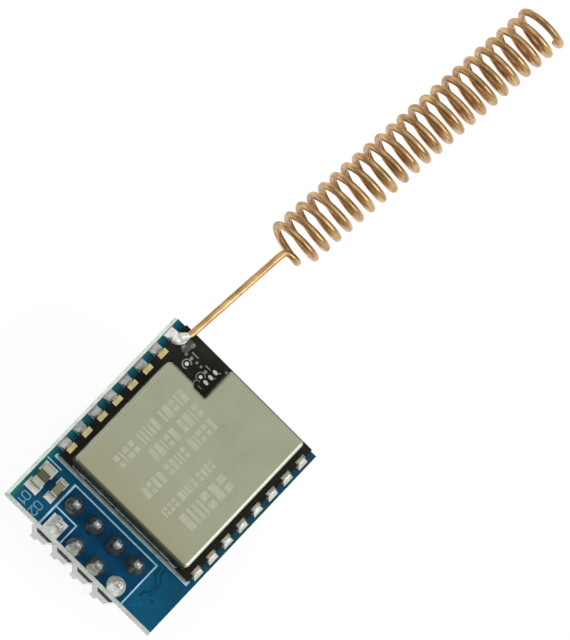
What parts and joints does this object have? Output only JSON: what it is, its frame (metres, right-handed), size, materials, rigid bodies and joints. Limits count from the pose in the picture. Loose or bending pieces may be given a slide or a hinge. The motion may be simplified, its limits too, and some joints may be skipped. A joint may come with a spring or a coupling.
{
  "type": "radio transceiver module",
  "caption": "Small radio transceiver board with a shielded castellated module, a two-row pin header underneath and an open coil antenna of copper wire.",
  "frame": {"origin": "middle of the pin header, on the underside of its plastic housing, where it seats on a socket", "axes": "+X along the header's rows, +Y from the header towards the antenna, +Z from the header's pins up to the shield can"},
  "size_m": [0.018, 0.0676, 0.0134],
  "materials": {
    "carrier_laminate": "blue solder mask over glass-fibre laminate, satin",
    "module_laminate": "black solder mask over glass-fibre laminate, satin",
    "tinned_pads": "tinned copper, dull",
    "solder": "reflowed solder, shiny",
    "gilding": "thin gold over nickel, smooth",
    "can_metal": "nickel silver sheet, satin",
    "header_plastic": "moulded black plastic",
    "pin_metal": "tinned square pins",
    "chip_plastic": "moulded black plastic",
    "crystal_metal": "plated lid",
    "crystal_ceramic": "dark ceramic",
    "coil_ceramic": "pale ceramic",
    "capacitor_ceramic": "tan ceramic, dull",
    "capacitor_ends": "tinned ends",
    "copper_wire": "bare copper wire, drawn, lightly tarnished"
  },
  "bodies": {
    "root": {"antenna_solder": "solder", "antenna_switch": "chip_plastic", "antenna_switch_leads": "solder", "can_solder": "solder", "capacitor_1_body": "capacitor_ceramic", "capacitor_1_ends": "capacitor_ends", "capacitor_1_pads": "tinned_pads", "capacitor_1_solder": "solder", "capacitor_2_body": "capacitor_ceramic", "capacitor_2_ends": "capacitor_ends", "capacitor_2_pads": "tinned_pads", "capacitor_2_solder": "solder", "carrier_board": "carrier_laminate", "carrier_pads": "tinned_pads", "castellation_plating": "gilding", "chip_capacitors_left": "capacitor_ceramic", "chip_capacitors_right": "capacitor_ceramic", "crystal_base": "crystal_ceramic", "crystal_lid": "crystal_metal", "first_pin_pad": "tinned_pads", "header_housing": "header_plastic", "header_pin_1": "pin_metal", "header_pin_2": "pin_metal", "header_pin_3": "pin_metal", "header_pin_4": "pin_metal", "header_pin_5": "pin_metal", "header_pin_6": "pin_metal", "header_pin_7": "pin_metal", "header_pin_8": "pin_metal", "header_solder_1": "solder", "header_solder_2": "solder", "header_solder_3": "solder", "header_solder_4": "solder", "header_solder_5": "solder", "header_solder_6": "solder", "header_solder_7": "solder", "header_solder_8": "solder", "matching_coils": "coil_ceramic", "module_board": "module_laminate", "radio_chip": "chip_plastic", "radio_chip_lands": "solder", "shield_can": "can_metal", "solder_joints_left": "solder", "solder_joints_right": "solder", "spring_antenna": "copper_wire"}
  },
  "joints": []
}
